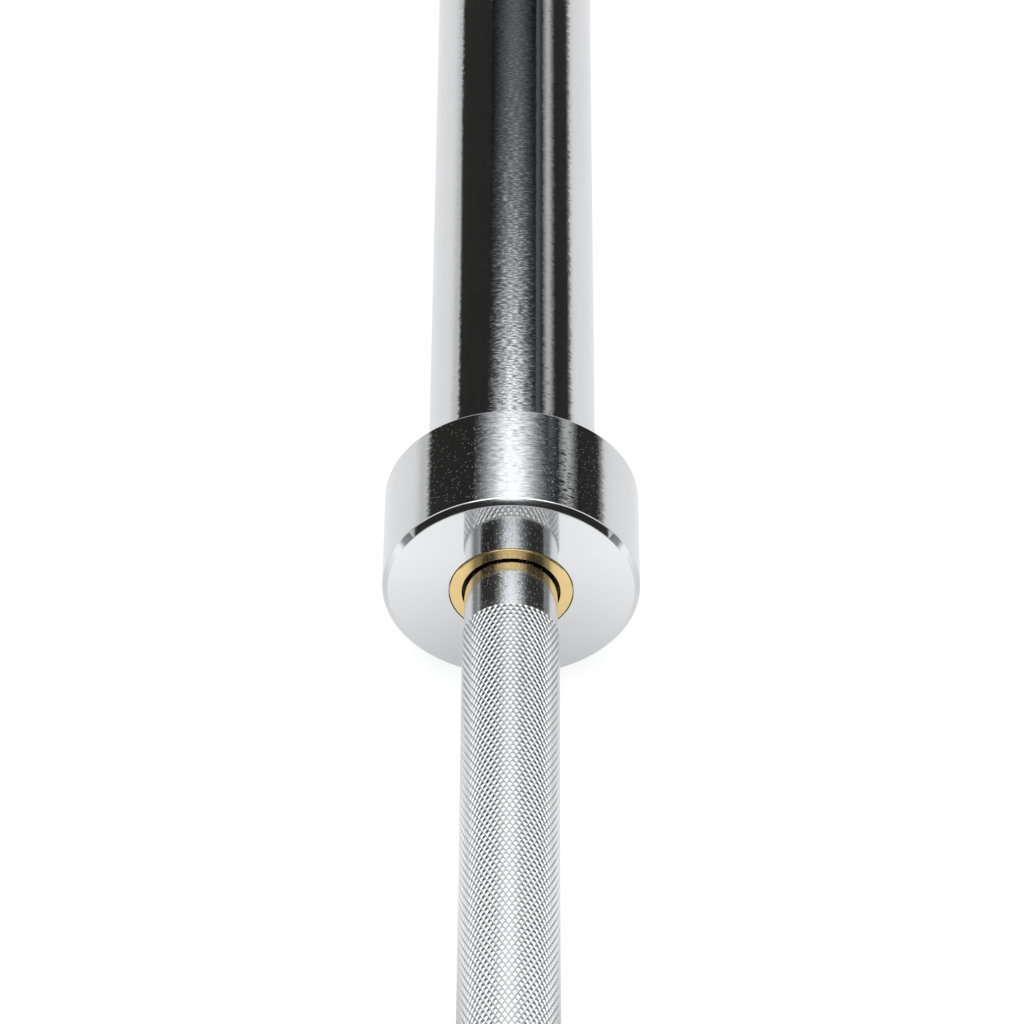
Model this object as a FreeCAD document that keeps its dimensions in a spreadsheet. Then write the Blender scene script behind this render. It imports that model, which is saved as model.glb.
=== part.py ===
"""Olympic barbell: a knurled shaft with a spinning loading sleeve on each end.

Frame: X runs along the bar, Z is up, and the origin is on the axis at mid-length. Millimetres.
A sleeve and all that is in it are drawn along +X from the collar's inner face, and turned end for end
about Z for the left side, because the two ends of the bar are built from the same pieces.
"""

import FreeCAD, Part
import math
import os
import re
import Sketcher

# Driving dimensions: name, millimetres, meaning
SIZES = [
    ("overall_length", 2200.0, "tip to tip"),
    ("collar_spacing", 1310.0, "between the inner faces of the collars"),
    ("shaft_diameter", 28.0, "smooth shaft"),
    ("neck_diameter", 27.25, "turned neck that runs in the bushes"),
    ("knurl_rise", 0.15, "rolled crests above the smooth shaft"),
    ("knurl_start", 17.4, "plain neck between the collar and the first knurl"),
    ("grip_mark_offset", 195.0, "collar to the plain ring that marks the grip"),
    ("grip_mark_width", 5.0, "plain ring in the knurl"),
    ("centre_knurl_length", 120.0, "knurl at mid-length"),
    ("centre_gap", 150.0, "plain shaft on each side of the centre knurl"),
    ("journal_step", 2.625, "radial step from the neck to the journal"),
    ("journal_overhang", 4.0, "journal past the outer face of the hub"),
    ("journal_chamfer", 1.5, "end of the journal"),
    ("sleeve_diameter", 50.0, "loading sleeve"),
    ("sleeve_tip_chamfer", 2.0, "lead that plates start on"),
    ("sleeve_mouth_chamfer", 0.5, "inner edge of the sleeve's tip"),
    ("spigot_step", 2.0, "radial step down to the spigot in the collar"),
    ("spigot_seat", 2.0, "shoulder of the spigot, sunk in the collar's outer face"),
    ("undercut_depth", 0.3, "grinding relief of the sleeve beside the collar"),
    ("undercut_width", 0.5, "that relief in front of the collar's outer face"),
    ("collar_diameter", 75.5, "collar"),
    ("collar_width", 37.5, "collar along the bar"),
    ("collar_chamfer", 1.65, "inner edge of the collar"),
    ("collar_back_chamfer", 0.5, "outer edge of the collar"),
    ("collar_lip", 5.0, "lip of the collar in front of the tube"),
    ("bush_clearance", 0.05, "radial running clearance on the neck"),
    ("bush_wall", 2.925, "bush between the neck and the sleeve's bore"),
    ("bush_flange_width", 1.4, "radial width of the flange outside the bore"),
    ("bush_flange_gap", 0.25, "radial gap between the flange and the collar's lip"),
    ("bush_proud", 0.25, "flange in front of the collar's face"),
    ("bush_edge", 0.3, "broken edge of the flange and of the plain bush"),
    ("bush_mouth_relief", 0.775, "radial relief at the mouth of the inner bush"),
    ("bush_mouth_depth", 2.5, "depth of that relief"),
    ("inner_bush_length", 50.0, "inner bush, flange included"),
    ("outer_bush_length", 40.0, "outer bush"),
    ("end_float", 0.3, "axial clearance on each side of the hub"),
    ("washer_thickness", 2.0, "thrust washer"),
    ("washer_gap", 0.3, "radial gap of the washer inside and outside"),
    ("hub_length", 10.0, "thrust hub"),
    ("hub_gap", 0.3, "radial gap between the hub and the sleeve's bore"),
    ("hub_fit", 0.03, "radial fit of the hub on the journal"),
    ("hub_rim", 1.3, "radial wall round the hub's recess"),
    ("hub_recess", 4.0, "depth of the recess for the shaft's ring"),
    ("hub_edge", 0.5, "broken edges of the hub"),
    ("shaft_end_gap", 4.0, "end of the shaft to the seat of the end cap"),
    ("cap_shoulder", 2.0, "radial step that the end cap seats on"),
    ("cap_thickness", 4.5, "end cap"),
    ("cap_gap", 0.1, "radial gap round the end cap"),
    ("cap_recess", 2.0, "sleeve's tip past the ring of the end cap"),
    ("cap_rim", 3.2, "raised rim of the end cap under its ring"),
    ("cap_dish", 0.6, "depth of the dished face inside the rim"),
    ("cap_dish_slope", 0.6, "run of the slope from the rim to the dish"),
    ("cap_skirt_depth", 2.5, "hollow in the back of the end cap"),
    ("cap_skirt_wall", 2.2, "radial wall round that hollow"),
    ("ring_slack", 0.1, "axial slack of a snap ring in its groove"),
    ("ring_fit", 0.05, "radial gap between a snap ring and the floor of its groove"),
    ("ring_taper", 0.5, "offset of a ring's two circles, which thins it towards its ears"),
    ("ear_radius", 2.0, "ear of a snap ring"),
    ("ear_hole_radius", 0.9, "plier hole in an ear"),
    ("ear_hole_inset", 1.4, "centre of the plier hole from the open end"),
    ("shaft_ring_thickness", 1.2, "snap ring on the journal"),
    ("shaft_ring_band", 2.3, "mean radial width of that ring"),
    ("shaft_ring_opening", 3.0, "open ends of that ring"),
    ("shaft_groove_depth", 0.5, "groove in the journal"),
    ("sleeve_ring_thickness", 1.5, "snap ring in the sleeve's bore"),
    ("sleeve_ring_band", 2.8, "mean radial width of that ring"),
    ("sleeve_ring_opening", 6.0, "open ends of that ring"),
    ("sleeve_groove_depth", 0.85, "groove in the sleeve's bore"),
    ("cap_ring_thickness", 1.5, "snap ring over the end cap"),
    ("cap_ring_band", 3.0, "mean radial width of that ring"),
    ("cap_ring_opening", 7.0, "open ends of that ring"),
    ("cap_groove_depth", 1.0, "groove for that ring"),
]
SIZE_NAMES = {name for name, value, meaning in SIZES}

# Radii
SHAFT = "shaft_diameter / 2"
CREST = "(shaft_diameter / 2 + knurl_rise)"
NECK = "neck_diameter / 2"
JOURNAL = "(neck_diameter / 2 - journal_step)"
JOURNAL_GROOVE = f"({JOURNAL} - shaft_groove_depth)"
RUNNING_BORE = "(neck_diameter / 2 + bush_clearance)"
BORE = f"({RUNNING_BORE} + bush_wall)"
SLEEVE = "sleeve_diameter / 2"
SPIGOT = "(sleeve_diameter / 2 - spigot_step)"
COLLAR = "collar_diameter / 2"
FLANGE = f"({BORE} + bush_flange_width)"
HUB = f"({BORE} - hub_gap)"
CAP_BORE = f"({BORE} + cap_shoulder)"
CAP = f"({CAP_BORE} - cap_gap)"

# Places along a sleeve, from the collar's inner face towards the tip
SLEEVE_TIP = "((overall_length - collar_spacing) / 2)"
CAP_RING_SEAT = f"({SLEEVE_TIP} - cap_recess - cap_ring_thickness)"
CAP_SEAT = f"({CAP_RING_SEAT} - cap_thickness)"
SHAFT_END = f"({CAP_SEAT} - shaft_end_gap)"
HUB_OUTER_FACE = f"({SHAFT_END} - journal_overhang)"
HUB_SEAT = f"({HUB_OUTER_FACE} - hub_length)"
SHAFT_RING_SEAT = f"({HUB_OUTER_FACE} - hub_recess)"
SLEEVE_RING_SEAT = f"({HUB_OUTER_FACE} + end_float)"
WASHER_SEAT = f"({HUB_SEAT} - end_float - washer_thickness)"
OUTER_BUSH_START = f"({WASHER_SEAT} - outer_bush_length)"


def bound(formula):
    """The formula with every size's name pointing at its cell in the sheet."""
    def point(word):
        return f"Sizes.{word[0]}" if word[0] in SIZE_NAMES else word[0]
    return re.sub(r"[a-z]\w+", point, formula)


def make_sheet(doc):
    sheet = doc.addObject("Spreadsheet::Sheet", "Sizes")
    for row, (name, value, meaning) in enumerate(SIZES, start=1):
        sheet.set(f"A{row}", meaning)
        sheet.set(f"B{row}", str(value))
        sheet.setAlias(f"B{row}", name)
    doc.recompute()


def make_body(doc, label):
    body = doc.addObject("PartDesign::Body", label)
    body.Label = label
    return body


def make_sketch(body, name, role):
    """An empty sketch on one of the body's own origin planes."""
    sketch = body.newObject("Sketcher::SketchObject", f"{body.Label}_{name}")
    plane = next(feature for feature in body.Origin.OriginFeatures if feature.Role == role)
    sketch.AttachmentSupport = (plane, [""])
    sketch.MapMode = "FlatFace"
    return sketch


def dimension(sketch, kind, places, start, formula):
    """One dimension of a sketch, bound to the sheet. Start is its value before the sheet sets it."""
    index = sketch.addConstraint(Sketcher.Constraint(kind, *places, start))
    sketch.setExpression(f"Constraints[{index}]", bound(formula))


def draw_outline(sketch, corners):
    """A closed outline of straight edges. Each corner gives the formulas of its two coordinates.
    The corners start evenly spaced round a circle, and their dimensions then move them into place."""
    count = len(corners)
    middle, spread = 20.0, 10.0
    turns = [2 * math.pi * index / count for index in range(count)]
    points = [FreeCAD.Vector(middle + spread * math.cos(a), middle + spread * math.sin(a)) for a in turns]
    for index in range(count):
        sketch.addGeometry(Part.LineSegment(points[index], points[(index + 1) % count]), False)
    for index in range(count):
        sketch.addConstraint(Sketcher.Constraint("Coincident", index, 2, (index + 1) % count, 1))
    for index, (first, second) in enumerate(corners):
        dimension(sketch, "DistanceX", (-1, 1, index, 1), points[index].x, first)
        dimension(sketch, "DistanceY", (-1, 1, index, 1), points[index].y, second)


def draw_circle(sketch, first, second, radius):
    """A circle whose centre and radius are formulas."""
    start, start_radius = 10.0, 5.0
    index = sketch.addGeometry(
        Part.Circle(FreeCAD.Vector(start, start), FreeCAD.Vector(0, 0, 1), start_radius), False)
    dimension(sketch, "DistanceX", (-1, 1, index, 3), start, first)
    dimension(sketch, "DistanceY", (-1, 1, index, 3), start, second)
    dimension(sketch, "Radius", (index,), start_radius, radius)


def turn(body, corners):
    """A turned piece: an outline of (place along X, radius) corners, revolved about X."""
    sketch = make_sketch(body, "profile", "XY_Plane")
    draw_outline(sketch, corners)
    turned = body.newObject("PartDesign::Revolution", f"{body.Label}_turned")
    turned.Profile = sketch
    turned.ReferenceAxis = (sketch, ["H_Axis"])
    turned.Angle = 360
    return turned


def pad(body, name, sketch, thickness):
    feature = body.newObject("PartDesign::Pad", f"{body.Label}_{name}")
    feature.Profile = sketch
    feature.setExpression("Length", bound(thickness))


def cut_through(body, name, sketch):
    """A cut from the sketch towards +X, where the solid is."""
    feature = body.newObject("PartDesign::Pocket", f"{body.Label}_{name}")
    feature.Profile = sketch
    feature.Type = "ThroughAll"
    feature.Reversed = True


def place(body, side, along):
    """Sets a piece at its place along the sleeve, on the right side or turned round on the left."""
    sign, angle = {"right": ("", 0), "left": ("-", 180)}[side]
    body.Placement = FreeCAD.Placement(
        FreeCAD.Vector(), FreeCAD.Rotation(FreeCAD.Vector(0, 0, 1), angle))
    body.setExpression("Placement.Base.x", bound(f"{sign}(collar_spacing / 2 + {along})"))


def shaft(doc):
    """One half of the shaft, from mid-length to its turned end, and its mirror image.
    The knurled bands stand a little proud of the smooth shaft, as rolled knurl does, and the neck past
    the outer grip is turned down to run in the bushes."""
    body = make_body(doc, "shaft")
    half = "collar_spacing / 2"
    grip_start = "(centre_knurl_length / 2 + centre_gap)"
    mark_end = f"({half} - grip_mark_offset)"
    mark_start = f"({mark_end} - grip_mark_width)"
    grip_end = f"({half} - knurl_start)"
    ring_groove = f"({half} + {SHAFT_RING_SEAT})"
    ring_groove_end = f"({ring_groove} + shaft_ring_thickness + ring_slack)"
    corners = [("0", "0"), ("0", CREST)]
    corners += [("centre_knurl_length / 2 - knurl_rise", CREST), ("centre_knurl_length / 2", SHAFT)]
    for start, end in ((grip_start, mark_start), (mark_end, grip_end)):
        corners += [(start, SHAFT), (f"{start} + knurl_rise", CREST)]
        corners += [(f"{end} - knurl_rise", CREST), (end, SHAFT)]
    corners += [(grip_end, NECK), (f"{half} + {HUB_SEAT}", NECK), (f"{half} + {HUB_SEAT}", JOURNAL)]
    corners += [(ring_groove, JOURNAL), (ring_groove, JOURNAL_GROOVE)]
    corners += [(ring_groove_end, JOURNAL_GROOVE), (ring_groove_end, JOURNAL)]
    corners += [(f"{half} + {SHAFT_END} - journal_chamfer", JOURNAL)]
    corners += [(f"{half} + {SHAFT_END}", f"{JOURNAL} - journal_chamfer"), (f"{half} + {SHAFT_END}", "0")]
    half_shaft = turn(body, corners)
    mirrored = body.newObject("PartDesign::Mirrored", "shaft_mirrored")
    mirrored.Originals = [half_shaft]
    middle = next(feature for feature in body.Origin.OriginFeatures if feature.Role == "YZ_Plane")
    mirrored.MirrorPlane = (middle, [""])
    body.Tip = mirrored
    return body


def sleeve_tube(doc, side):
    """Thick tube with a spigot for the collar, a grinding relief beside it, two ring grooves and a
    counterbore for the end cap."""
    body = make_body(doc, f"{side}_sleeve_tube")
    shoulder = "collar_width - spigot_seat"
    undercut = f"{SLEEVE} - undercut_depth"
    ground_start = "collar_width + undercut_width"
    ring_end = f"{SLEEVE_RING_SEAT} + sleeve_ring_thickness + ring_slack"
    cap_ring_end = f"{CAP_RING_SEAT} + cap_ring_thickness + ring_slack"
    corners = [("collar_lip", BORE), ("collar_lip", SPIGOT), (shoulder, SPIGOT)]
    corners += [(shoulder, undercut), (ground_start, undercut), (ground_start, SLEEVE)]
    corners += [(f"{SLEEVE_TIP} - sleeve_tip_chamfer", SLEEVE)]
    corners += [(SLEEVE_TIP, f"{SLEEVE} - sleeve_tip_chamfer")]
    corners += [(SLEEVE_TIP, f"{CAP_BORE} + sleeve_mouth_chamfer")]
    corners += [(f"{SLEEVE_TIP} - sleeve_mouth_chamfer", CAP_BORE)]
    corners += [(cap_ring_end, CAP_BORE), (cap_ring_end, f"{CAP_BORE} + cap_groove_depth")]
    corners += [(CAP_RING_SEAT, f"{CAP_BORE} + cap_groove_depth"), (CAP_RING_SEAT, CAP_BORE)]
    corners += [(CAP_SEAT, CAP_BORE), (CAP_SEAT, BORE)]
    corners += [(ring_end, BORE), (ring_end, f"{BORE} + sleeve_groove_depth")]
    corners += [(SLEEVE_RING_SEAT, f"{BORE} + sleeve_groove_depth"), (SLEEVE_RING_SEAT, BORE)]
    turn(body, corners)
    place(body, side, "0")
    return body


def collar(doc, side):
    """Thick ring pressed on the tube's spigot. Its lip covers the end of the tube."""
    body = make_body(doc, f"{side}_collar")
    lip_bore = f"{FLANGE} + bush_flange_gap"
    shoulder = "collar_width - spigot_seat"
    turn(body, [
        ("0", lip_bore),
        ("0", f"{COLLAR} - collar_chamfer"),
        ("collar_chamfer", COLLAR),
        ("collar_width - collar_back_chamfer", COLLAR),
        ("collar_width", f"{COLLAR} - collar_back_chamfer"),
        ("collar_width", SLEEVE),
        (shoulder, SLEEVE),
        (shoulder, SPIGOT),
        ("collar_lip", SPIGOT),
        ("collar_lip", lip_bore),
    ])
    place(body, side, "0")
    return body


def inner_bush(doc, side):
    """Flanged bush in the mouth of the sleeve, drawn from the front of its flange."""
    body = make_body(doc, f"{side}_inner_bush")
    mouth = f"{RUNNING_BORE} + bush_mouth_relief"
    flange_back = "collar_lip + bush_proud"
    turn(body, [
        ("0", mouth),
        ("0", f"{FLANGE} - bush_edge"),
        ("bush_edge", FLANGE),
        (flange_back, FLANGE),
        (flange_back, BORE),
        ("inner_bush_length", BORE),
        ("inner_bush_length", RUNNING_BORE),
        ("bush_mouth_depth", RUNNING_BORE),
        ("bush_mouth_depth", mouth),
    ])
    place(body, side, "(0 - bush_proud)")
    return body


def outer_bush(doc, side):
    """Plain bush near the tip, with broken outer edges."""
    body = make_body(doc, f"{side}_outer_bush")
    turn(body, [
        (OUTER_BUSH_START, RUNNING_BORE),
        (OUTER_BUSH_START, f"{BORE} - bush_edge"),
        (f"{OUTER_BUSH_START} + bush_edge", BORE),
        (f"{WASHER_SEAT} - bush_edge", BORE),
        (WASHER_SEAT, f"{BORE} - bush_edge"),
        (WASHER_SEAT, RUNNING_BORE),
    ])
    place(body, side, "0")
    return body


def thrust_washer(doc, side):
    """Flat ring that lies on the end of the outer bush."""
    body = make_body(doc, f"{side}_thrust_washer")
    turn(body, [
        (WASHER_SEAT, f"{NECK} + washer_gap"),
        (WASHER_SEAT, f"{BORE} - washer_gap"),
        (f"{WASHER_SEAT} + washer_thickness", f"{BORE} - washer_gap"),
        (f"{WASHER_SEAT} + washer_thickness", f"{NECK} + washer_gap"),
    ])
    place(body, side, "0")
    return body


def thrust_hub(doc, side):
    """Hub against the shaft's shoulder. Its recess holds the ring on the journal, and its rim stands
    past that ring to meet the ring in the sleeve's bore."""
    body = make_body(doc, f"{side}_thrust_hub")
    journal_bore = f"{JOURNAL} + hub_fit"
    recess = f"{HUB} - hub_rim"
    turn(body, [
        (HUB_SEAT, journal_bore),
        (HUB_SEAT, f"{HUB} - hub_edge"),
        (f"{HUB_SEAT} + hub_edge", HUB),
        (f"{HUB_OUTER_FACE} - hub_edge", HUB),
        (HUB_OUTER_FACE, f"{HUB} - hub_edge"),
        (HUB_OUTER_FACE, recess),
        (SHAFT_RING_SEAT, recess),
        (SHAFT_RING_SEAT, journal_bore),
    ])
    place(body, side, "0")
    return body


def snap_ring(doc, side, name, seat, bore, rim, ear_circle, thickness, opening):
    """Snap ring with its open ends up: a band between two offset circles, two round ears with plier
    holes, and the opening that cuts band and ears straight. Bore and rim are the two circles, each as
    (radius, height of its centre)."""
    body = make_body(doc, f"{side}_{name}")
    ear_side = f"{opening} / 2 + ear_hole_inset"
    ear_height = f"sqrt(({ear_circle}) ^ 2 - ({ear_side}) ^ 2)"
    band = make_sketch(body, "band", "YZ_Plane")
    for radius, height in (bore, rim):
        draw_circle(band, "0", height, radius)
    pad(body, "band_pad", band, thickness)
    ears = make_sketch(body, "ears", "YZ_Plane")
    for sign in ("", "-"):
        draw_circle(ears, f"{sign}({ear_side})", ear_height, "ear_radius")
    pad(body, "ear_pad", ears, thickness)
    gap = make_sketch(body, "gap", "YZ_Plane")
    top = f"{rim[0]} + {rim[1]} + ear_radius"
    half_gap = f"{opening} / 2"
    draw_outline(gap, [(f"-({half_gap})", "0"), (half_gap, "0"), (half_gap, top), (f"-({half_gap})", top)])
    cut_through(body, "gap_cut", gap)
    holes = make_sketch(body, "holes", "YZ_Plane")
    for sign in ("", "-"):
        draw_circle(holes, f"{sign}({ear_side})", ear_height, "ear_hole_radius")
    cut_through(body, "hole_cut", holes)
    place(body, side, seat)
    return body


def shaft_ring(doc, side):
    """Grips the journal's groove, with its ears outside."""
    inside = f"({JOURNAL_GROOVE} + ring_fit)"
    bore = (inside, "0")
    rim = (f"({inside} + shaft_ring_band)", "(0 - ring_taper)")
    ear_circle = f"{inside} + ear_radius"
    return snap_ring(doc, side, "shaft_ring", SHAFT_RING_SEAT, bore, rim, ear_circle,
                     "shaft_ring_thickness", "shaft_ring_opening")


def bore_ring(doc, side, name, seat, groove):
    """Springs out into a groove, with its ears inside."""
    outside = f"({groove} - ring_fit)"
    bore = (f"({outside} - {name}_band)", "ring_taper")
    rim = (outside, "0")
    ear_circle = f"{outside} - {name}_band + ring_taper - ear_hole_radius"
    return snap_ring(doc, side, name, seat, bore, rim, ear_circle, f"{name}_thickness", f"{name}_opening")


def sleeve_ring(doc, side):
    return bore_ring(doc, side, "sleeve_ring", SLEEVE_RING_SEAT, f"{BORE} + sleeve_groove_depth")


def cap_ring(doc, side):
    return bore_ring(doc, side, "cap_ring", CAP_RING_SEAT, f"{CAP_BORE} + cap_groove_depth")


def end_cap(doc, side):
    """Disc on the sleeve's counterbore, with a dished face inside a raised rim and a hollow back."""
    body = make_body(doc, f"{side}_end_cap")
    rim = f"{CAP} - cap_rim"
    hollow = f"{BORE} - cap_skirt_wall"
    turn(body, [
        (f"{CAP_SEAT} + cap_skirt_depth", "0"),
        (f"{CAP_SEAT} + cap_skirt_depth", hollow),
        (CAP_SEAT, hollow),
        (CAP_SEAT, CAP),
        (CAP_RING_SEAT, CAP),
        (CAP_RING_SEAT, rim),
        (f"{CAP_RING_SEAT} - cap_dish", f"{rim} - cap_dish_slope"),
        (f"{CAP_RING_SEAT} - cap_dish", "0"),
    ])
    place(body, side, "0")
    return body


SLEEVE_PIECES = (sleeve_tube, collar, inner_bush, outer_bush, thrust_washer, thrust_hub,
                 shaft_ring, sleeve_ring, end_cap, cap_ring)


def check(doc, pieces):
    """Stops on any failed object, and on any piece that isn't one sound solid."""
    for item in doc.Objects:
        if {"Invalid", "Error"} & set(item.State):
            raise RuntimeError(f"{item.Label} failed: {item.State}")
    for piece in pieces:
        shape = piece.Shape
        if shape.isNull() or not shape.isValid() or len(shape.Solids) != 1:
            raise RuntimeError(f"{piece.Label} is not one sound solid")


doc = FreeCAD.newDocument("olympic_barbell")
make_sheet(doc)
pieces = [shaft(doc)]
for side in ("left", "right"):
    pieces += [make(doc, side) for make in SLEEVE_PIECES]
doc.recompute()
check(doc, pieces)

os.makedirs("parts", exist_ok=True)
for piece in pieces:
    piece.Shape.exportStep(f"parts/{piece.Label}.step")
    print(f"{piece.Label}: {piece.Shape.Volume / 1000:.2f} cm3")
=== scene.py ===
import math

import bpy
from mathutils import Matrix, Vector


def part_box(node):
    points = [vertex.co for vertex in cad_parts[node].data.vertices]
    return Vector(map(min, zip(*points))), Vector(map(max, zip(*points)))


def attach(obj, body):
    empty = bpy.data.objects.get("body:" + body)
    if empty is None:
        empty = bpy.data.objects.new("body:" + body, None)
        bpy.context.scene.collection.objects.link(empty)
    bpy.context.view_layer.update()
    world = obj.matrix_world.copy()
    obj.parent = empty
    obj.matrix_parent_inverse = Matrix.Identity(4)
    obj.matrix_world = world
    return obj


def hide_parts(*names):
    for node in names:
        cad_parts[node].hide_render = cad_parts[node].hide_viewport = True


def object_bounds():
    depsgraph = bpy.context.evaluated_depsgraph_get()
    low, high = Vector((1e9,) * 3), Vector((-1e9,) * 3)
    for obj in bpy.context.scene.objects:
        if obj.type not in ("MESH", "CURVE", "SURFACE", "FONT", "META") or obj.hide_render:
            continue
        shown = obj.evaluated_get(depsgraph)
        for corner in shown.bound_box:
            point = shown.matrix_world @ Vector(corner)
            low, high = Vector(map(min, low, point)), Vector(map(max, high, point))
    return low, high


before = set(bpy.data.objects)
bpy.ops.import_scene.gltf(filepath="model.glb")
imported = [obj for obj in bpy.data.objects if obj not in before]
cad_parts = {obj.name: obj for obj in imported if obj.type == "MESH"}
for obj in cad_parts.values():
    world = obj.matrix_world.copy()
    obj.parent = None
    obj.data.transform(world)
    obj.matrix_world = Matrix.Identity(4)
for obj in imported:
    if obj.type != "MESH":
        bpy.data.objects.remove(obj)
cad_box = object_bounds()


# Shaft: one bar of spring steel, ground smooth and hard chromed. Each end is turned down to a journal with
# a groove for its snap ring. The bar is a little thinner under the knurl, which is a piece of its own here.
mm = 0.001
shaft_radius = 14.0 * mm
neck_radius = 13.625 * mm
knurl_seat_radius = 13.7 * mm
shaft_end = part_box("shaft")[1].x
collar_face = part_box("right_collar")[0].x
hub_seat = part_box("right_thrust_hub")[0].x
journal_radius = 11.0 * mm
journal_chamfer = 1.5 * mm
ring_slack = 0.1 * mm
ring_groove_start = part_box("right_shaft_ring")[0].x
ring_groove_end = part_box("right_shaft_ring")[1].x + ring_slack
ring_groove_depth = 0.5 * mm
ring_groove_radius = journal_radius - ring_groove_depth
neck_length = 17.4 * mm
centre_knurl = (-60.0 * mm, 60.0 * mm)
inner_grip = (210.0 * mm, 455.0 * mm)
outer_grip = (460.0 * mm, collar_face - neck_length)
shaft_edge = 0.04 * mm
edge_segments = 3
off_axis = 0.1 * mm
weld = 0.001 * mm


def select_points(piece, test):
    """In edit mode, selects the vertices whose place passes the test, and only those."""
    bpy.ops.mesh.select_mode(type="VERT")
    bpy.ops.mesh.select_all(action="DESELECT")
    bpy.ops.object.mode_set(mode="OBJECT")
    for point in piece.data.vertices:
        point.select = test(point.co)
    bpy.ops.object.mode_set(mode="EDIT")


def turned(name, corners, edge, steps=192):
    """A piece turned about the bar's axis. The corners give its outline as (place along X, radius); an
    outline that begins and ends on the axis stays open there. Edge is the size of its broken edges."""
    bpy.ops.object.select_all(action="DESELECT")
    bpy.ops.mesh.primitive_plane_add(size=1 * mm)
    piece = bpy.context.object
    piece.name = piece.data.name = name
    bpy.ops.object.mode_set(mode="EDIT")
    bpy.ops.mesh.merge(type="CENTER")
    bpy.ops.transform.translate(value=(corners[0][0], 0, corners[0][1]))
    solid = corners[0][1] == 0
    path = corners if solid else corners + corners[:1]
    for (x, radius), (next_x, next_radius) in zip(path, path[1:]):
        step = (next_x - x, 0, next_radius - radius)
        bpy.ops.mesh.extrude_vertices_move(TRANSFORM_OT_translate={"value": step})
    bpy.ops.mesh.select_all(action="SELECT")
    bpy.ops.mesh.remove_doubles(threshold=weld)
    select_points(piece, lambda place: place.z > off_axis)
    bpy.ops.mesh.bevel(offset=edge, segments=edge_segments, affect="VERTICES")
    bpy.ops.mesh.select_all(action="SELECT")
    bpy.ops.mesh.spin(steps=steps, angle=2 * math.pi, center=(0, 0, 0), axis=(1, 0, 0))
    bpy.ops.mesh.select_all(action="SELECT")
    bpy.ops.mesh.remove_doubles(threshold=weld)
    bpy.ops.mesh.normals_make_consistent(inside=False)
    bpy.ops.object.mode_set(mode="OBJECT")
    bpy.ops.object.shade_smooth()
    bpy.ops.object.modifier_add(type="WEIGHTED_NORMAL")
    bpy.ops.object.modifier_apply(modifier=piece.modifiers[-1].name)
    return piece


half_outline = [(centre_knurl[1], knurl_seat_radius), (centre_knurl[1], shaft_radius)]
for (grip_start, grip_end), next_radius in ((inner_grip, shaft_radius), (outer_grip, neck_radius)):
    half_outline += [(grip_start, shaft_radius), (grip_start, knurl_seat_radius)]
    half_outline += [(grip_end, knurl_seat_radius), (grip_end, next_radius)]
half_outline += [(hub_seat, neck_radius), (hub_seat, journal_radius)]
half_outline += [(ring_groove_start, journal_radius), (ring_groove_start, ring_groove_radius)]
half_outline += [(ring_groove_end, ring_groove_radius), (ring_groove_end, journal_radius)]
half_outline += [(shaft_end - journal_chamfer, journal_radius), (shaft_end, journal_radius - journal_chamfer)]
half_outline += [(shaft_end, 0)]
other_half = [(-x, radius) for x, radius in reversed(half_outline)]
shaft_core = turned("shaft_core", other_half + half_outline, edge=shaft_edge)


def put(tree, kind, wires=(), **settings):
    """Adds a node to a tree. Wires are its inputs: a socket is linked to it, any other value is set on it."""
    node = tree.nodes.new(kind)
    for key, value in settings.items():
        setattr(node, key, value)
    for key, value in dict(wires).items():
        if isinstance(value, bpy.types.NodeSocket):
            tree.links.new(value, node.inputs[key])
        else:
            node.inputs[key].default_value = value
    return node


clouds_per_metre = 45.0
pits_per_metre = 1500.0
pit_rim, pit_floor = 0.3, 0.15
cells_without_pit = 0.6


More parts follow.
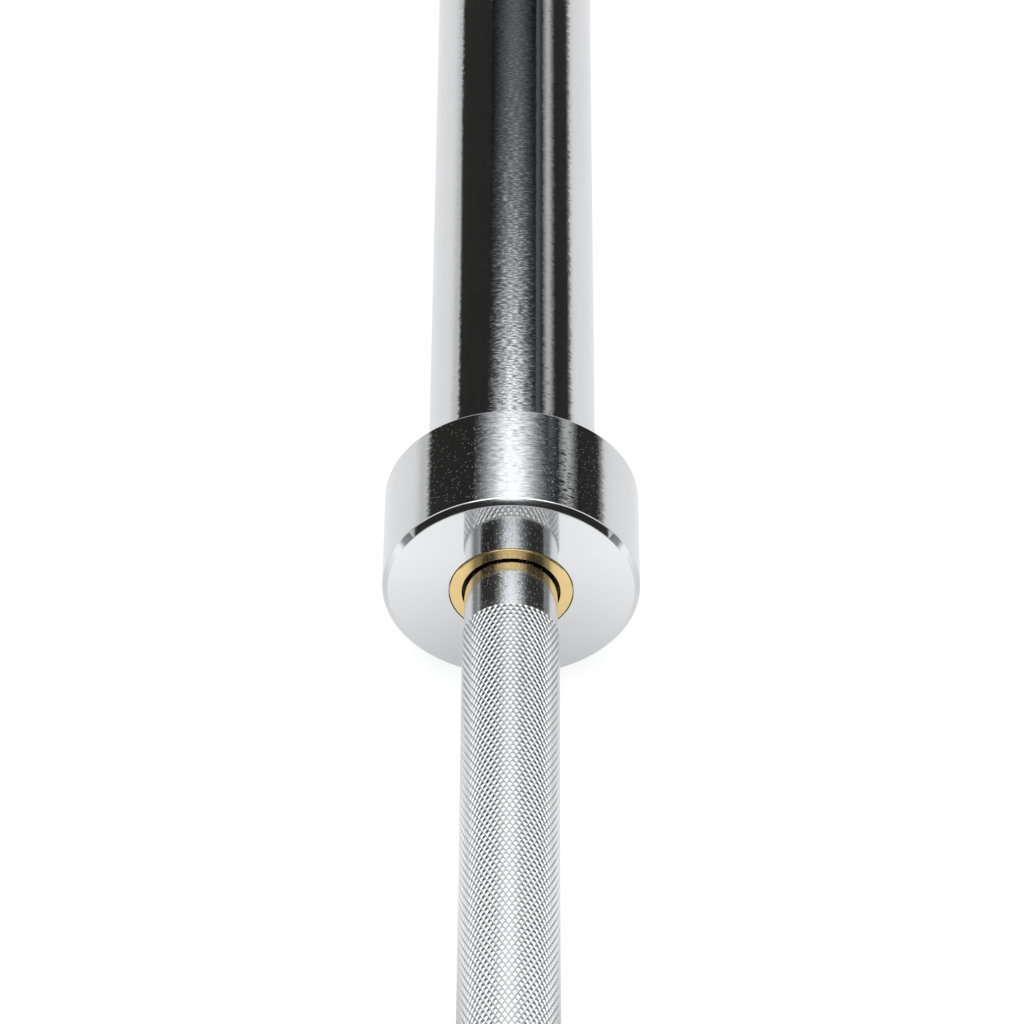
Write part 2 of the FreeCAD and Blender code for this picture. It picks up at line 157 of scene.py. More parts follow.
def ground_grain():
    """Node group for the grain that grinding and turning leave: short flecks drawn out round the bar, the
    lean of each along the bar, fine lines, cloudy patches, and pits. Pit sizes are shares of a cell, and
    Along, Round and Lines are numbers per metre."""
    tree = bpy.data.node_groups.new("ground_grain", "ShaderNodeTree")
    for name in ("Along", "Round", "Lines"):
        tree.interface.new_socket(name, in_out="INPUT", socket_type="NodeSocketFloat")
    for name in ("Flecks", "Lean", "Line Height", "Cloud", "Pits"):
        tree.interface.new_socket(name, in_out="OUTPUT", socket_type="NodeSocketFloat")
    inputs = put(tree, "NodeGroupInput").outputs
    place = put(tree, "ShaderNodeTexCoord").outputs["Object"]
    stretch = put(tree, "ShaderNodeCombineXYZ",
                  {"X": inputs["Along"], "Y": inputs["Round"], "Z": inputs["Round"]})
    fleck_place = put(tree, "ShaderNodeVectorMath", {0: place, 1: stretch.outputs[0]}, operation="MULTIPLY")
    flecks = put(tree, "ShaderNodeTexNoise", {"Vector": fleck_place.outputs[0], "Scale": 1.0, "Detail": 2.0})
    lean = put(tree, "ShaderNodeMapRange", {0: flecks.outputs[0], 1: 0.0, 2: 1.0, 3: -1.0, 4: 1.0})
    along = put(tree, "ShaderNodeSeparateXYZ", {0: place})
    line_place = put(tree, "ShaderNodeMath", {0: along.outputs["X"], 1: inputs["Lines"]},
                     operation="MULTIPLY")
    lines = put(tree, "ShaderNodeTexNoise", {"W": line_place.outputs[0], "Scale": 1.0, "Detail": 3.0},
                noise_dimensions="1D")
    cloud = put(tree, "ShaderNodeTexNoise", {"Vector": place, "Scale": clouds_per_metre, "Detail": 3.0})
    cells = put(tree, "ShaderNodeTexVoronoi", {"Vector": place, "Scale": pits_per_metre})
    near = put(tree, "ShaderNodeMapRange", {0: cells.outputs["Distance"], 1: pit_rim, 2: pit_floor})
    chance = put(tree, "ShaderNodeSeparateColor", {0: cells.outputs["Color"]})
    few = put(tree, "ShaderNodeMath", {0: chance.outputs[0], 1: cells_without_pit}, operation="GREATER_THAN")
    pits = put(tree, "ShaderNodeMath", {0: near.outputs[0], 1: few.outputs[0]}, operation="MULTIPLY")
    outputs = {"Flecks": flecks, "Lean": lean, "Line Height": lines, "Cloud": cloud, "Pits": pits}
    put(tree, "NodeGroupOutput", {name: node.outputs[0] for name, node in outputs.items()})
    return tree


def from_axis(tree):
    """The distance of the shaded point from the bar's axis."""
    place = put(tree, "ShaderNodeTexCoord").outputs["Object"]
    across = put(tree, "ShaderNodeVectorMath", {0: place, 1: (0, 1, 1)}, operation="MULTIPLY")
    return put(tree, "ShaderNodeVectorMath", {0: across.outputs[0]}, operation="LENGTH").outputs["Value"]


chrome_dark = (0.67, 0.675, 0.68, 1)
chrome_light = (0.72, 0.725, 0.73, 1)
cloud_low, cloud_high = 0.3, 0.75
smoothest, dullest = 0.8, 1.3
polish_fade = 0.2 * mm
line_depth = 0.002 * mm


def chrome(name, along, round_, lines, lean, roughness, pit_roughness, ground_from=0.0):
    """Hard chrome over ground steel. Lean says how far its flecks tip along the bar. Nearer to the axis
    than ground_from, the steel is polished and shows no grain."""
    material = bpy.data.materials.new(name)
    material.use_nodes = True
    tree = material.node_tree
    shader = tree.nodes["Principled BSDF"]
    grain = put(tree, "ShaderNodeGroup", node_tree=bpy.data.node_groups["ground_grain"])
    for socket, value in (("Along", along), ("Round", round_), ("Lines", lines)):
        grain.inputs[socket].default_value = value
    ground = put(tree, "ShaderNodeMapRange",
                 {0: from_axis(tree), 1: ground_from - polish_fade, 2: ground_from}).outputs[0]
    height = put(tree, "ShaderNodeMath", {0: grain.outputs["Line Height"], 1: ground}, operation="MULTIPLY")
    lined = put(tree, "ShaderNodeBump", {"Height": height.outputs[0], "Distance": line_depth})
    tip = put(tree, "ShaderNodeMath", {0: grain.outputs["Lean"], 1: ground}, operation="MULTIPLY")
    tip_size = put(tree, "ShaderNodeMath", {0: tip.outputs[0], 1: lean}, operation="MULTIPLY")
    tip_along = put(tree, "ShaderNodeCombineXYZ", {"X": tip_size.outputs[0]})
    tip_turned = put(tree, "ShaderNodeVectorTransform", {0: tip_along.outputs[0]}, vector_type="VECTOR",
                     convert_from="OBJECT", convert_to="WORLD")
    tipped = put(tree, "ShaderNodeVectorMath", {0: lined.outputs[0], 1: tip_turned.outputs[0]},
                 operation="ADD")
    facing = put(tree, "ShaderNodeVectorMath", {0: tipped.outputs[0]}, operation="NORMALIZE")
    smooth = put(tree, "ShaderNodeMapRange", {0: grain.outputs["Cloud"], 1: cloud_low, 2: cloud_high,
                                             3: roughness * smoothest, 4: roughness * dullest})
    pitted = put(tree, "ShaderNodeMath", {0: grain.outputs["Pits"], 1: ground}, operation="MULTIPLY")
    dull = put(tree, "ShaderNodeMix", {0: pitted.outputs[0], 2: smooth.outputs[0], 3: pit_roughness},
               data_type="FLOAT")
    tone = put(tree, "ShaderNodeMix", {0: grain.outputs["Cloud"], 6: chrome_dark, 7: chrome_light},
               data_type="RGBA")
    shader.inputs["Metallic"].default_value = 1.0
    tree.links.new(tone.outputs[2], shader.inputs["Base Color"])
    tree.links.new(dull.outputs[0], shader.inputs["Roughness"])
    tree.links.new(facing.outputs[0], shader.inputs["Normal"])
    return material


ground_grain()
shaft_chrome = chrome("ground_shaft_chrome", along=2600, round_=2200, lines=3000,
                      lean=0.05, roughness=0.16, pit_roughness=0.5)


def finish_piece(piece, material, body, slot, *nodes):
    """Gives a piece its material and puts it on its body, in place of the nodes that it stands for."""
    piece.data.materials.clear()
    piece.data.materials.append(material)
    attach(piece, body)
    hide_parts(*nodes)


finish_piece(shaft_core, shaft_chrome, "shaft", "shaft_chrome", "shaft")


# Knurl: five bands rolled into the shaft with a pair of wheels, two grips with the plain ring mark between
# them on each side and one band in the middle. V grooves leave flat-topped diamonds, chromed with the bar.
diamonds_round = 48
diamond_pitch = 3.03 * mm
crest_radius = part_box("shaft")[1].z
knurl_root_radius = 13.87 * mm
flank_width = 0.24 * mm
shoulder_width = 0.06 * mm
shoulder_drop = 0.02 * mm
run_out = 0.35 * mm
end_wall_scale = 0.95
diamond_weld = 0.01 * mm
crease = math.radians(30)


def knurled_band(name, start, end):
    """One band: a diamond is inset and raised, copied round the bar and along it, and cut off at both ends,
    where walls run in to the shaft."""
    half_turn = math.pi / diamonds_round
    rows = round((end - start) / (diamond_pitch / 2))
    row = (end - start) / rows
    side = knurl_root_radius * math.sin(half_turn)
    side_drop = knurl_root_radius * (1 - math.cos(half_turn))
    rise = crest_radius - knurl_root_radius
    bpy.ops.object.select_all(action="DESELECT")
    bpy.ops.mesh.primitive_circle_add(vertices=4, radius=1, fill_type="NGON")
    band = bpy.context.object
    band.name = band.data.name = name
    bpy.ops.object.mode_set(mode="EDIT")
    bpy.ops.transform.resize(value=(row, side, 1))
    bpy.ops.transform.translate(value=(start, 0, knurl_root_radius))
    bpy.ops.mesh.inset(thickness=flank_width, depth=rise - shoulder_drop)
    bpy.ops.mesh.inset(thickness=shoulder_width, depth=shoulder_drop)
    side_corner = 0.95 * side
    select_points(band, lambda place: abs(place.y) > side_corner)
    bpy.ops.transform.translate(value=(0, 0, -side_drop))
    bpy.ops.mesh.select_all(action="SELECT")
    bpy.ops.mesh.duplicate()
    bpy.ops.transform.rotate(value=half_turn, orient_axis="X", center_override=(0, 0, 0))
    bpy.ops.transform.translate(value=(row, 0, 0))
    bpy.ops.mesh.select_all(action="SELECT")
    copies = diamonds_round - 1
    bpy.ops.mesh.spin(steps=copies, dupli=True, angle=2 * half_turn * copies, center=(0, 0, 0),
                      axis=(1, 0, 0))
    bpy.ops.object.mode_set(mode="OBJECT")
    bpy.ops.object.modifier_add(type="ARRAY")
    repeat = band.modifiers[-1]
    repeat.use_relative_offset = False
    repeat.use_constant_offset = True
    repeat.constant_offset_displace = (2 * row, 0, 0)
    repeat.count = rows // 2 + 1
    bpy.ops.object.modifier_apply(modifier=repeat.name)
    bpy.ops.object.mode_set(mode="EDIT")
    bpy.ops.mesh.select_all(action="SELECT")
    bpy.ops.mesh.remove_doubles(threshold=diamond_weld)
    for cut, outwards in ((start + run_out, -1), (end - run_out, 1)):
        bpy.ops.mesh.select_all(action="SELECT")
        bpy.ops.mesh.bisect(plane_co=(cut, 0, 0), plane_no=(outwards, 0, 0), clear_outer=True, threshold=weld)
        select_points(band, lambda place: abs(place.x - cut) < 2 * weld)
        bpy.ops.mesh.extrude_edges_move(TRANSFORM_OT_translate={"value": (outwards * run_out, 0, 0)})
        bpy.ops.transform.resize(value=(1, end_wall_scale, end_wall_scale), center_override=(0, 0, 0))
    inside = 0.98 * knurl_root_radius
    select_points(band, lambda place: math.hypot(place.y, place.z) < inside)
    bpy.ops.mesh.bridge_edge_loops()
    bpy.ops.mesh.select_all(action="SELECT")
    bpy.ops.mesh.normals_make_consistent(inside=False)
    bpy.ops.object.mode_set(mode="OBJECT")
    bpy.ops.object.shade_smooth_by_angle(angle=crease)
    return band


groove_depth = 0.12 * mm
painted_groove_shade = 0.8
groove_roughness, crest_roughness = 0.14, 0.08


def knurl_chrome():
    """The shaft's chrome, duller on the rolled flanks and darker down in the grooves, where painted shade
    darkens its colour.
    """
    material = shaft_chrome.copy()
    material.name = "knurl_chrome"
    tree = material.node_tree
    shader = tree.nodes["Principled BSDF"]
    radius = from_axis(tree)
    # Painted shade: the colour darkens from the crests down to the groove roots.
    depth = put(tree, "ShaderNodeMapRange", {0: radius, 1: knurl_root_radius,
                                            2: knurl_root_radius + groove_depth, 3: painted_groove_shade, 4: 1.0})
    plain = shader.inputs["Base Color"].links[0].from_socket
    shaded = put(tree, "ShaderNodeMix", {0: 1.0, 6: plain, 7: depth.outputs[0]}, data_type="RGBA",
                 blend_type="MULTIPLY")
    tree.links.new(shaded.outputs[2], shader.inputs["Base Color"])
    dull = put(tree, "ShaderNodeMapRange", {0: radius, 1: knurl_root_radius, 2: crest_radius,
                                           3: groove_roughness, 4: crest_roughness})
    tree.links.new(dull.outputs[0], shader.inputs["Roughness"])
    return material


grip_chrome = knurl_chrome()
sides = {"left": -1, "right": 1}
bands = {"centre_knurl": centre_knurl}
for side, sign in sides.items():
    for grip, (grip_start, grip_end) in (("inner_grip", inner_grip), ("outer_grip", outer_grip)):
        bands[f"{side}_{grip}"] = sorted((sign * grip_start, sign * grip_end))
for name, (band_start, band_end) in bands.items():
    finish_piece(knurled_band(name, band_start, band_end), grip_chrome, "shaft", "shaft_chrome", "shaft")


# Loading sleeves: thick steel tubes, ground and chromed, that plates slide on. The spigot carries the
# collar, and the bore has the grooves of two snap rings and a counterbore for the end cap.
sleeve_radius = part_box("right_sleeve_tube")[1].z
sleeve_start, sleeve_tip = (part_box("right_sleeve_tube")[i].x for i in (0, 1))
collar_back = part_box("right_collar")[1].x
spigot_depth = 2.0 * mm
spigot_radius = sleeve_radius - spigot_depth
bore_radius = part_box("right_outer_bush")[1].z
cap_ledge = 2.0 * mm
cap_bore_radius = bore_radius + cap_ledge
undercut_depth, undercut_length = 0.3 * mm, 0.5 * mm
undercut_radius = sleeve_radius - undercut_depth
tip_chamfer = 2.0 * mm
mouth_chamfer = 0.5 * mm
cap_seat, cap_ring_seat = (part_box("right_end_cap")[i].x for i in (0, 1))
sleeve_ring_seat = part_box("right_sleeve_ring")[0].x
groove_width = 1.6 * mm
sleeve_groove_depth, cap_groove_depth = 0.85 * mm, 1.0 * mm
sleeve_groove_radius = bore_radius + sleeve_groove_depth
cap_groove_radius = cap_bore_radius + cap_groove_depth
shoulder_inside_collar = 2.0 * mm
spigot_shoulder = collar_back - shoulder_inside_collar
ground_start = collar_back + undercut_length
sleeve_edge = 0.08 * mm
sleeve_outline = [(sleeve_start, bore_radius), (sleeve_start, spigot_radius)]
sleeve_outline += [(spigot_shoulder, spigot_radius), (spigot_shoulder, undercut_radius)]
sleeve_outline += [(ground_start, undercut_radius), (ground_start, sleeve_radius)]
sleeve_outline += [(sleeve_tip - tip_chamfer, sleeve_radius), (sleeve_tip, sleeve_radius - tip_chamfer)]
sleeve_outline += [(sleeve_tip, cap_bore_radius + mouth_chamfer)]
sleeve_outline += [(sleeve_tip - mouth_chamfer, cap_bore_radius)]
for seat, wall, floor_radius in ((cap_ring_seat, cap_bore_radius, cap_groove_radius),
                                 (sleeve_ring_seat, bore_radius, sleeve_groove_radius)):
    sleeve_outline += [(seat + groove_width, wall), (seat + groove_width, floor_radius)]
    sleeve_outline += [(seat, floor_radius), (seat, wall)]
    if wall == cap_bore_radius:
        sleeve_outline += [(cap_seat, cap_bore_radius), (cap_seat, bore_radius)]
sleeve_chrome = chrome("ground_sleeve_chrome", along=2000, round_=600, lines=2500,
                       lean=0.085, roughness=0.06, pit_roughness=0.2)


def turn_pair(name, outline, edge, material, slot, node, steps=192):
    """Turns a piece for each sleeve, the left one the other way round, and finishes both."""
    for side, sign in sides.items():
        corners = [(sign * x, radius) for x, radius in outline]
        piece = turned(f"{side}_{name}", corners, edge, steps)
        finish_piece(piece, material, f"{side}_sleeve", slot, f"{side}_{node}")


turn_pair("loading_sleeve", sleeve_outline, sleeve_edge, sleeve_chrome, "sleeve_chrome", "sleeve_tube")


# Collars: thick rings turned from steel, chromed, and pressed on the sleeves' spigots. The inner edge has
# a polished chamfer, and the face is bored out for the flange of the bush.
collar_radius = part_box("right_collar")[1].z
collar_chamfer = 1.65 * mm
back_chamfer = 0.5 * mm
flange_slack = 0.25 * mm
lip_bore_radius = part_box("right_inner_bush")[1].z + flange_slack
collar_edge = 0.2 * mm
collar_steps = 256
polished_below = 0.05 * mm
collar_outline = [(collar_face, lip_bore_radius), (collar_face, collar_radius - collar_chamfer)]
collar_outline += [(collar_face + collar_chamfer, collar_radius), (collar_back - back_chamfer, collar_radius)]
collar_outline += [(collar_back, collar_radius - back_chamfer), (collar_back, sleeve_radius)]
collar_outline += [(spigot_shoulder, sleeve_radius), (spigot_shoulder, spigot_radius)]
collar_outline += [(sleeve_start, spigot_radius), (sleeve_start, lip_bore_radius)]
collar_chrome = chrome("turned_collar_chrome", along=2000, round_=500, lines=2800,
                       lean=0.055, roughness=0.06, pit_roughness=0.35,
                       ground_from=collar_radius - polished_below)
turn_pair("stop_collar", collar_outline, collar_edge, collar_chrome, "sleeve_chrome", "collar", collar_steps)


# Inner bushes: flanged bushes of bearing bronze, turned and left bare. The flange sits in the collar's face,
# and the shaft runs in the bore, which is relieved at its mouth.
flange_front, bush_end = (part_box("right_inner_bush")[i].x for i in (0, 1))
flange_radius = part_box("right_inner_bush")[1].z
running_clearance = 0.05 * mm
running_radius = neck_radius + running_clearance
mouth_relief = 0.775 * mm
mouth_radius = running_radius + mouth_relief
mouth_depth = 2.5 * mm
flange_edge = 0.3 * mm
bush_edge = 0.06 * mm
bush_outline = [(flange_front, mouth_radius), (flange_front, flange_radius - flange_edge)]
bush_outline += [(flange_front + flange_edge, flange_radius), (sleeve_start, flange_radius)]
bush_outline += [(sleeve_start, bore_radius), (bush_end, bore_radius), (bush_end, running_radius)]
bush_outline += [(flange_front + mouth_depth, running_radius), (flange_front + mouth_depth, mouth_radius)]

tool_grain = {"Along": 2500, "Round": 1500, "Lines": 3000}
tool_fleck_depth = 0.0015 * mm
tarnish_low, tarnish_high = 0.35, 0.7
fleck_low, fleck_high = 0.3, 0.7
brightest, most_satin = 0.85, 1.2
bore_dark = (0.03, 0.025, 0.02, 1)
dark_fade = 0.05 * mm


def bare_metal(name, light, dark, rings_per_metre, ring_depth, roughness, dark_within=0.0):
    """Bare turned metal: rings round the bar's axis on its faces, flecks from the tool, and tarnish. Nearer
    to the axis than dark_within, its colour is turned dark."""
    material = bpy.data.materials.new(name)
    material.use_nodes = True
    tree = material.node_tree
    shader = tree.nodes["Principled BSDF"]
    grain = put(tree, "ShaderNodeGroup", node_tree=bpy.data.node_groups["ground_grain"])
    for socket, value in tool_grain.items():
        grain.inputs[socket].default_value = value
    radius = from_axis(tree)
    ring_place = put(tree, "ShaderNodeMath", {0: radius, 1: rings_per_metre}, operation="MULTIPLY")
    rings = put(tree, "ShaderNodeTexNoise", {"W": ring_place.outputs[0], "Scale": 1.0, "Detail": 2.0},
                noise_dimensions="1D")
    ring_bump = put(tree, "ShaderNodeBump", {"Height": rings.outputs[0], "Distance": ring_depth})
    fleck_bump = put(tree, "ShaderNodeBump", {"Height": grain.outputs["Flecks"], "Distance": tool_fleck_depth,
                                             "Normal": ring_bump.outputs[0]})
    tarnish = put(tree, "ShaderNodeMapRange", {0: grain.outputs["Cloud"], 1: tarnish_low, 2: tarnish_high})
    bare = put(tree, "ShaderNodeMix", {0: tarnish.outputs[0], 6: light, 7: dark}, data_type="RGBA")
    # The colour turns dark nearer to the axis than dark_within.
    undarkened = put(tree, "ShaderNodeMapRange", {0: radius, 1: dark_within, 2: dark_within + dark_fade})
    tone = put(tree, "ShaderNodeMix", {0: undarkened.outputs[0], 6: bore_dark, 7: bare.outputs[2]}, data_type="RGBA")
    dull = put(tree, "ShaderNodeMapRange", {0: grain.outputs["Flecks"], 1: fleck_low, 2: fleck_high,
                                           3: roughness * brightest, 4: roughness * most_satin})
    shader.inputs["Metallic"].default_value = 1.0
    tree.links.new(tone.outputs[2], shader.inputs["Base Color"])
    tree.links.new(dull.outputs[0], shader.inputs["Roughness"])
    tree.links.new(fleck_bump.outputs[0], shader.inputs["Normal"])
    return material


# The bronze is darker inside its bore, nearer to the axis than the bore's mouth.
bronze = bare_metal("turned_bronze", light=(0.80, 0.60, 0.29, 1), dark=(0.71, 0.50, 0.21, 1),
                    rings_per_metre=4000, ring_depth=0.02 * mm, roughness=0.15, dark_within=mouth_radius)
turn_pair("flanged_bush", bush_outline, bush_edge, bronze, "bronze", "inner_bush")


# End caps: aluminium discs that close the sleeves' tips, turned with a raised rim round a dished face and
# left bare. A snap ring in the sleeve holds each cap against its seat.
cap_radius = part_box("right_end_cap")[1].z
cap_rim_width = 3.2 * mm
cap_rim_radius = cap_radius - cap_rim_width
cap_dish = 0.6 * mm
cap_hollow_depth, cap_hollow_wall = 2.5 * mm, 2.2 * mm
cap_hollow = cap_seat + cap_hollow_depth
cap_hollow_radius = bore_radius - cap_hollow_wall
cap_edge = 0.1 * mm
cap_outline = [(cap_hollow, 0), (cap_hollow, cap_hollow_radius), (cap_seat, cap_hollow_radius)]
cap_outline += [(cap_seat, cap_radius), (cap_ring_seat, cap_radius), (cap_ring_seat, cap_rim_radius)]
cap_outline += [(cap_ring_seat - cap_dish, cap_rim_radius - cap_dish), (cap_ring_seat - cap_dish, 0)]
aluminium = bare_metal("turned_aluminium", light=(0.74, 0.75, 0.76, 1), dark=(0.62, 0.63, 0.64, 1),
                       rings_per_metre=2600, ring_depth=0.02 * mm, roughness=0.25)
turn_pair("turned_cap", cap_outline, cap_edge, aluminium, "cap_aluminium", "end_cap")


# Running gear inside each sleeve: a plain bronze bush, a steel washer, the hub on the shaft's journal, and
# three snap rings stamped from spring steel and phosphated black. They keep the shapes of the frame.
plain_steel = bare_metal("turned_steel", light=(0.56, 0.56, 0.57, 1), dark=(0.42, 0.42, 0.43, 1),
                         rings_per_metre=2500, ring_depth=0.01 * mm, roughness=0.35)
phosphate = bare_metal("black_phosphate", light=(0.045, 0.045, 0.05, 1), dark=(0.02, 0.02, 0.022, 1),
                       rings_per_metre=900, ring_depth=0.004 * mm, roughness=0.45)
running_gear = {"outer_bush": bronze, "thrust_washer": plain_steel, "thrust_hub": plain_steel,
                "shaft_ring": phosphate, "sleeve_ring": phosphate, "cap_ring": phosphate}
for side in sides:
    for node, material in running_gear.items():
        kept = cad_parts[f"{side}_{node}"]
        kept.data.materials.clear()
        kept.data.materials.append(material)


# Studio: a white floor that the collars rest on, a softbox over the bar that dims towards its right end, two
# faint strips beside it, and black flags bent over the bar, which give the chrome its dark bands. The floor
# is plain paper, and what mirrors see of it is set apart from what the camera sees, with painted shade of
# the bar along its middle and at the collars' faces.
floor_height = cad_box[0].z
floor_size = 40.0
bpy.ops.object.select_all(action="DESELECT")
bpy.ops.mesh.primitive_plane_add(size=floor_size, location=(0, 0, floor_height))
floor = bpy.context.object
floor.name = "floor"


def seen_white(tree):
    """1 for the rays that show the background: those of the camera, of mirrors and through glass."""
    path = put(tree, "ShaderNodeLightPath").outputs
    mirror = put(tree, "ShaderNodeMath", {0: path["Is Camera Ray"], 1: path["Is Glossy Ray"]},
                 operation="MAXIMUM")
    return put(tree, "ShaderNodeMath", {0: mirror.outputs[0], 1: path["Is Transmission Ray"]},
               operation="MAXIMUM").outputs[0]


def stops(tree, place, levels):
    """Levels between 0 and 1 along a line, blended from one place to the next."""
    first, last = min(levels), max(levels)
    share = put(tree, "ShaderNodeMapRange", {0: place, 1: first, 2: last})
    ramp = put(tree, "ShaderNodeValToRGB", {0: share.outputs[0]})
    marks = ramp.color_ramp.elements
    for at, level in levels.items():
        mark = {first: marks[0], last: marks[-1]}.get(at) or marks.new((at - first) / (last - first))
        mark.color = (level, level, level, 1)
    return ramp.outputs[0]


paper_grey = (0.35, 0.35, 0.35, 1)
paper_white = 0.78
# What mirrors see of the floor is lifted towards white. It is left unlifted along the middle of the bar and
# lower at the collars' faces, and both are painted shade of the bar.
mirrored_lift_and_painted_shade = {collar_face - 0.14: 0.0, collar_face - 0.08: 0.86, collar_face - 0.05: 0.86,
                  collar_face: 0.5, collar_face + 0.01: 0.57}
floor_white = bpy.data.materials.new("floor_white")
floor_white.use_nodes = True
floor_tree = floor_white.node_tree
floor_tree.nodes.clear()
paper = put(floor_tree, "ShaderNodeBsdfDiffuse", {"Color": paper_grey})
floor_path = put(floor_tree, "ShaderNodeLightPath").outputs
on_floor = put(floor_tree, "ShaderNodeTexCoord").outputs["Object"]
floor_place = put(floor_tree, "ShaderNodeSeparateXYZ", {0: on_floor})
from_middle = put(floor_tree, "ShaderNodeMath", {0: floor_place.outputs["X"]}, operation="ABSOLUTE")
mirrored = stops(floor_tree, from_middle.outputs[0], mirrored_lift_and_painted_shade)
lift = put(floor_tree, "ShaderNodeMix", {0: floor_path["Is Camera Ray"], 2: mirrored, 3: paper_white},
           data_type="FLOAT")
shown = put(floor_tree, "ShaderNodeMath", {0: seen_white(floor_tree), 1: lift.outputs[0]},
            operation="MULTIPLY")
glow = put(floor_tree, "ShaderNodeEmission", {"Color": (1, 1, 1, 1), "Strength": shown.outputs[0]})
floor_sum = put(floor_tree, "ShaderNodeAddShader", {0: paper.outputs[0], 1: glow.outputs[0]})
put(floor_tree, "ShaderNodeOutputMaterial", {"Surface": floor_sum.outputs[0]})
floor.data.materials.append(floor_white)

flag_radius = 2.0
flag_black = (0.058, 0.055, 0.053, 1)
flag_roughness = 0.9
flag_steps = 48


def black_flag(name, start, end, left, right, fades):
    """A black sheet bent over the bar, between two places along it and two angles from straight up, in
    degrees to the right. It fades out towards both angles, and only mirrors see it."""
    bpy.ops.object.select_all(action="DESELECT")
    bpy.ops.mesh.primitive_plane_add(size=1 * mm)
    flag = bpy.context.object
    flag.name = name
    bpy.ops.object.mode_set(mode="EDIT")
    bpy.ops.mesh.merge(type="CENTER")
    left_turn, right_turn = math.radians(left), math.radians(right)
    corner = (start, -flag_radius * math.sin(left_turn), flag_radius * math.cos(left_turn))
    bpy.ops.transform.translate(value=corner)
    bpy.ops.mesh.extrude_vertices_move(TRANSFORM_OT_translate={"value": (end - start, 0, 0)})
    bpy.ops.mesh.select_all(action="SELECT")
    bpy.ops.mesh.spin(steps=flag_steps, angle=right_turn - left_turn, center=(0, 0, 0), axis=(-1, 0, 0))
    bpy.ops.object.mode_set(mode="OBJECT")
    for ray in ("camera", "diffuse", "transmission", "shadow", "volume_scatter"):
        setattr(flag, f"visible_{ray}", False)
    cloth = bpy.data.materials.new(name)
    cloth.use_nodes = True
    tree = cloth.node_tree
    shader = tree.nodes["Principled BSDF"]
    place = put(tree, "ShaderNodeSeparateXYZ", {0: put(tree, "ShaderNodeTexCoord").outputs["Object"]}).outputs
    leftwards = put(tree, "ShaderNodeMath", {0: place["Y"], 1: place["Z"]}, operation="ARCTAN2").outputs[0]
    left_full, right_full = (math.radians(angle) for angle in (left + fades[0], right - fades[1]))
    left_fade = put(tree, "ShaderNodeMapRange", {0: leftwards, 1: -left_turn, 2: -left_full})
    right_fade = put(tree, "ShaderNodeMapRange", {0: leftwards, 1: -right_turn, 2: -right_full})
    cover = put(tree, "ShaderNodeMath", {0: left_fade.outputs[0], 1: right_fade.outputs[0]},
                operation="MINIMUM")
    tree.links.new(cover.outputs[0], shader.inputs["Alpha"])
    shader.inputs["Base Color"].default_value = flag_black
    shader.inputs["Roughness"].default_value = flag_roughness
    flag.data.materials.append(cloth)


flags = {"front_flag": (2.42, 3.0, -82, 93, (4, 9)), "end_flag": (3.0, 3.8, -85.5, 93, (4, 9)),
         "far_left_flag": (2.15, 2.42, -84, -26, (4, 4)), "far_right_flag": (2.15, 2.42, 26, 98, (4, 9)),
         "back_flag": (-2.1, -1.0, -82.5, 90, (1, 1)), "back_left_flag": (-1.0, -0.35, -90, -38, (1, 1)),
         "back_right_flag": (-1.0, -0.35, 38, 90, (1, 1))}
for name, (start, end, left, right, fades) in flags.items():
    black_flag(name, start, end, left, right, fades)


def softbox(name, place, turn, size, radiance, colour, half_widths, levels):
    """A glowing sheet, brightest along its middle line. Half widths of the glow and its levels change along
    the sheet, at places counted from its own middle."""
    bpy.ops.object.select_all(action="DESELECT")
    bpy.ops.mesh.primitive_plane_add(size=1, location=place, rotation=turn)
    sheet = bpy.context.object
    sheet.name = name
    bpy.ops.object.mode_set(mode="EDIT")
    bpy.ops.transform.resize(value=(size[0], size[1], 1), orient_type="LOCAL")
    bpy.ops.object.mode_set(mode="OBJECT")
    sheet.visible_camera = sheet.visible_shadow = False
    material = bpy.data.materials.new(name)
    material.use_nodes = True
    tree = material.node_tree
    tree.nodes.clear()
    sheet_place = put(tree, "ShaderNodeTexCoord").outputs["Object"]
    on_sheet = put(tree, "ShaderNodeSeparateXYZ", {0: sheet_place}).outputs
    aside = put(tree, "ShaderNodeMath", {0: on_sheet["Y"], 1: stops(tree, on_sheet["X"], half_widths)},
                operation="DIVIDE").outputs[0]
    square = put(tree, "ShaderNodeMath", {0: aside, 1: aside}, operation="MULTIPLY").outputs[0]
    fade = put(tree, "ShaderNodeMath", {0: math.exp(-0.5), 1: square}, operation="POWER").outputs[0]
    part = put(tree, "ShaderNodeMath", {0: fade, 1: stops(tree, on_sheet["X"], levels)}, operation="MULTIPLY")
    strength = put(tree, "ShaderNodeMath", {0: part.outputs[0], 1: radiance}, operation="MULTIPLY")
    bulb = put(tree, "ShaderNodeEmission", {"Color": (*colour, 1), "Strength": strength.outputs[0]})
    put(tree, "ShaderNodeOutputMaterial", {"Surface": bulb.outputs[0]})
    sheet.data.materials.append(material)


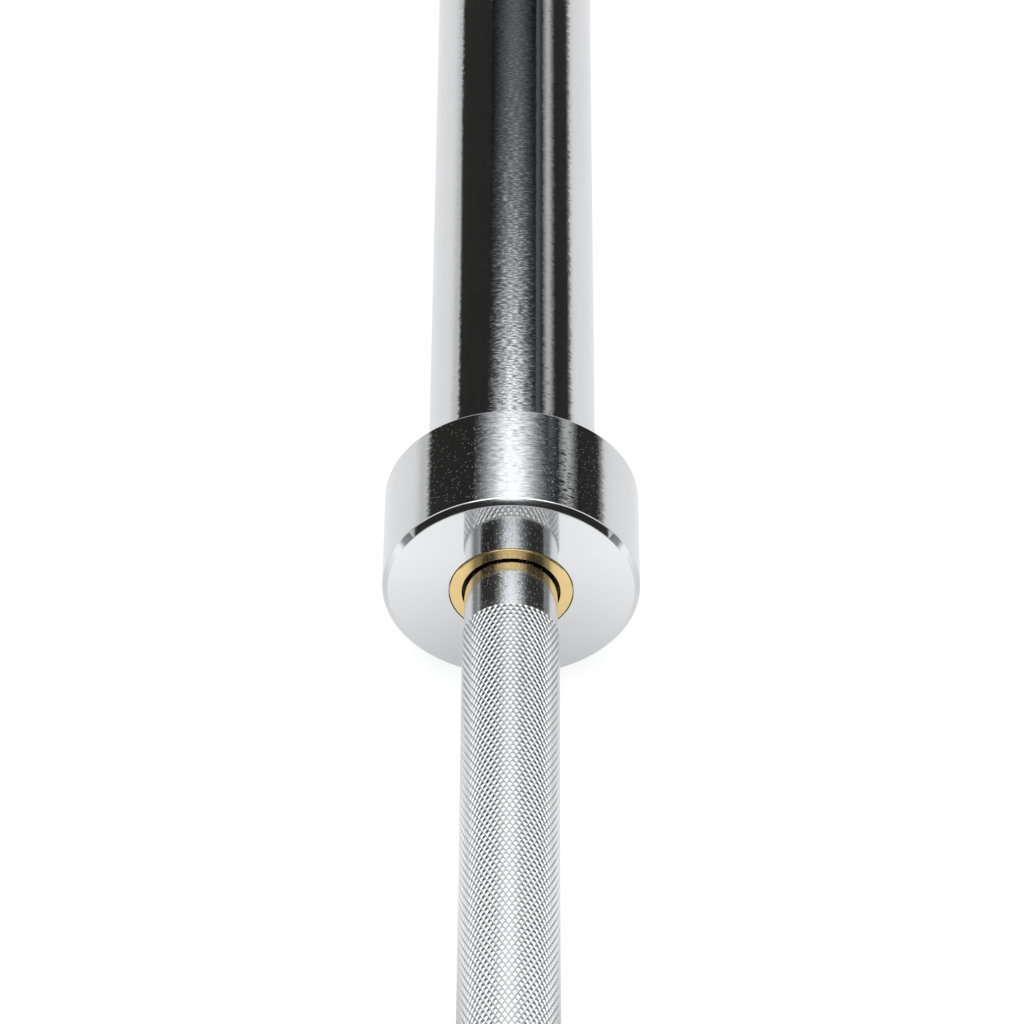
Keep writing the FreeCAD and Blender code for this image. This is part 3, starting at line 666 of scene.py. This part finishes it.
overhead_place, overhead_size = (1.1, 0, 1.0), (2.83, 1.3)
overhead_radiance, overhead_colour = 2.1, (0.95, 0.98, 1.0)
softbox("overhead_softbox", overhead_place, (0, 0, 0), overhead_size, overhead_radiance, overhead_colour,
        half_widths={0.33: 1.0, 0.46: 0.27, 0.56: 0.27, 0.62: 0.33, 1.2: 0.3},
        levels={0.33: 1.0, 0.45: 0.81, 0.54: 0.69, 0.59: 0.48, 0.7: 0.19, 0.84: 0.077, 1.02: 0.057,
                1.19: 0.031, 1.4: 0.015})
strip_reach = 1.9
strip_start, strip_end = 2.455, 3.5
strip_half = (strip_end - strip_start) / 2
strip_half_width = 0.16
strips = {"side_strip": (51.5, 0.7, 0.55, (1.0, 1.0, 1.0)),
          "blue_strip": (34.0, 1.0, 0.14, (0.75, 0.87, 1.0))}
for name, (degrees, width, radiance, colour) in strips.items():
    angle = math.radians(degrees)
    place = (strip_start + strip_half, -strip_reach * math.sin(angle), strip_reach * math.cos(angle))
    softbox(name, place, (angle, 0, 0), (2 * strip_half, width), radiance, colour,
            half_widths={-strip_half: strip_half_width, strip_half: strip_half_width},
            levels={-strip_half: 1.0, strip_half: 1.0})

world = bpy.data.worlds.new("white_studio")
bpy.context.scene.world = world
world.use_nodes = True
world_tree = world.node_tree
soft_light = 0.5
horizon_grey = 0.65
grey_up_to, white_from = 0.15, 0.35
direction = put(world_tree, "ShaderNodeTexCoord").outputs["Generated"]
sky = put(world_tree, "ShaderNodeSeparateXYZ", {0: direction})
sky_white = put(world_tree, "ShaderNodeMapRange", {0: sky.outputs["Z"], 1: grey_up_to, 2: white_from,
                                                   3: horizon_grey, 4: 1.0})
world_path = put(world_tree, "ShaderNodeLightPath").outputs
seen = put(world_tree, "ShaderNodeMix", {0: world_path["Is Camera Ray"], 2: sky_white.outputs[0], 3: 1.0},
           data_type="FLOAT")
level = put(world_tree, "ShaderNodeMix", {0: seen_white(world_tree), 2: soft_light, 3: seen.outputs[0]},
            data_type="FLOAT")
background = world_tree.nodes["Background"]
background.inputs["Color"].default_value = (1, 1, 1, 1)
world_tree.links.new(level.outputs[0], background.inputs["Strength"])
bpy.context.scene.view_settings.view_transform = "Standard"


# Camera: a metre above the bar, a little left of its middle, with a long lens. It looks along the bar and
# down on the right collar.
camera_place = (-0.2699, -0.0043, 0.9909)
camera_pitch = math.radians(45.987)
camera_yaw = math.radians(0.25)
camera_turn = (math.pi / 2 - camera_pitch, 0, camera_yaw - math.pi / 2)
bpy.ops.object.camera_add(location=camera_place, rotation=camera_turn)
camera = bpy.context.object
camera.data.sensor_width = 36.0
camera.data.lens = 163.07
bpy.context.scene.camera = camera
